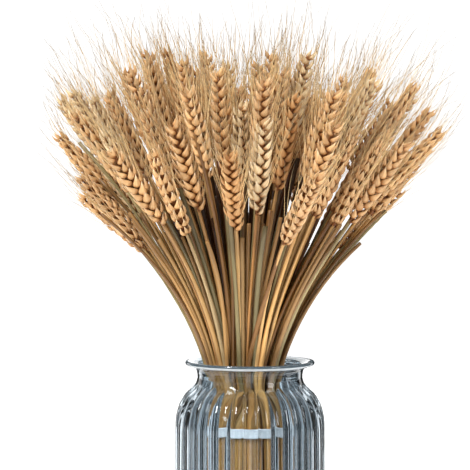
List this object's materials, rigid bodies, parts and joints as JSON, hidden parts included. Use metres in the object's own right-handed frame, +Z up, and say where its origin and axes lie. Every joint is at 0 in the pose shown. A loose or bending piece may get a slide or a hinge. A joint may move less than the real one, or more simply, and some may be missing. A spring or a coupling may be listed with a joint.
{
  "type": "bearded wheat ear bouquet in a ribbed glass vase",
  "caption": "Tied bouquet of dried bearded wheat ears fanning out of a ribbed glass vase with a flared lip; stands on the vase's flat foot.",
  "frame": {"origin": "centre of the vase's flat foot, on the surface it stands on", "axes": "+Z up along the vase's axis towards the ears, -Y towards the front, +X to the front's right"},
  "size_m": [0.3436, 0.3008, 0.4613],
  "materials": {
    "ribbed_glass": "clear pressed glass with a faint blue-grey tint, glossy",
    "clear_band": "clear film band, glossy",
    "dried_wheat": "dried straw and husks, golden tan, dull with a slight sheen"
  },
  "bodies": {
    "root": {"vase": "ribbed_glass", "band": "clear_band", "wheat_01": "dried_wheat", "wheat_02": "dried_wheat", "wheat_03": "dried_wheat", "wheat_04": "dried_wheat", "wheat_05": "dried_wheat", "wheat_06": "dried_wheat", "wheat_07": "dried_wheat", "wheat_08": "dried_wheat", "wheat_09": "dried_wheat", "wheat_10": "dried_wheat", "wheat_11": "dried_wheat", "wheat_12": "dried_wheat", "wheat_13": "dried_wheat", "wheat_14": "dried_wheat", "wheat_15": "dried_wheat", "wheat_16": "dried_wheat", "wheat_17": "dried_wheat", "wheat_18": "dried_wheat", "wheat_19": "dried_wheat", "wheat_20": "dried_wheat", "wheat_21": "dried_wheat", "wheat_22": "dried_wheat", "wheat_23": "dried_wheat", "wheat_24": "dried_wheat", "wheat_25": "dried_wheat", "wheat_26": "dried_wheat", "wheat_27": "dried_wheat", "wheat_28": "dried_wheat", "wheat_29": "dried_wheat", "wheat_30": "dried_wheat", "wheat_31": "dried_wheat", "wheat_32": "dried_wheat", "wheat_33": "dried_wheat", "wheat_34": "dried_wheat", "wheat_35": "dried_wheat", "wheat_36": "dried_wheat", "wheat_37": "dried_wheat", "wheat_38": "dried_wheat", "wheat_39": "dried_wheat", "wheat_40": "dried_wheat", "wheat_41": "dried_wheat", "wheat_42": "dried_wheat", "wheat_43": "dried_wheat", "wheat_44": "dried_wheat", "wheat_45": "dried_wheat"}
  },
  "joints": []
}
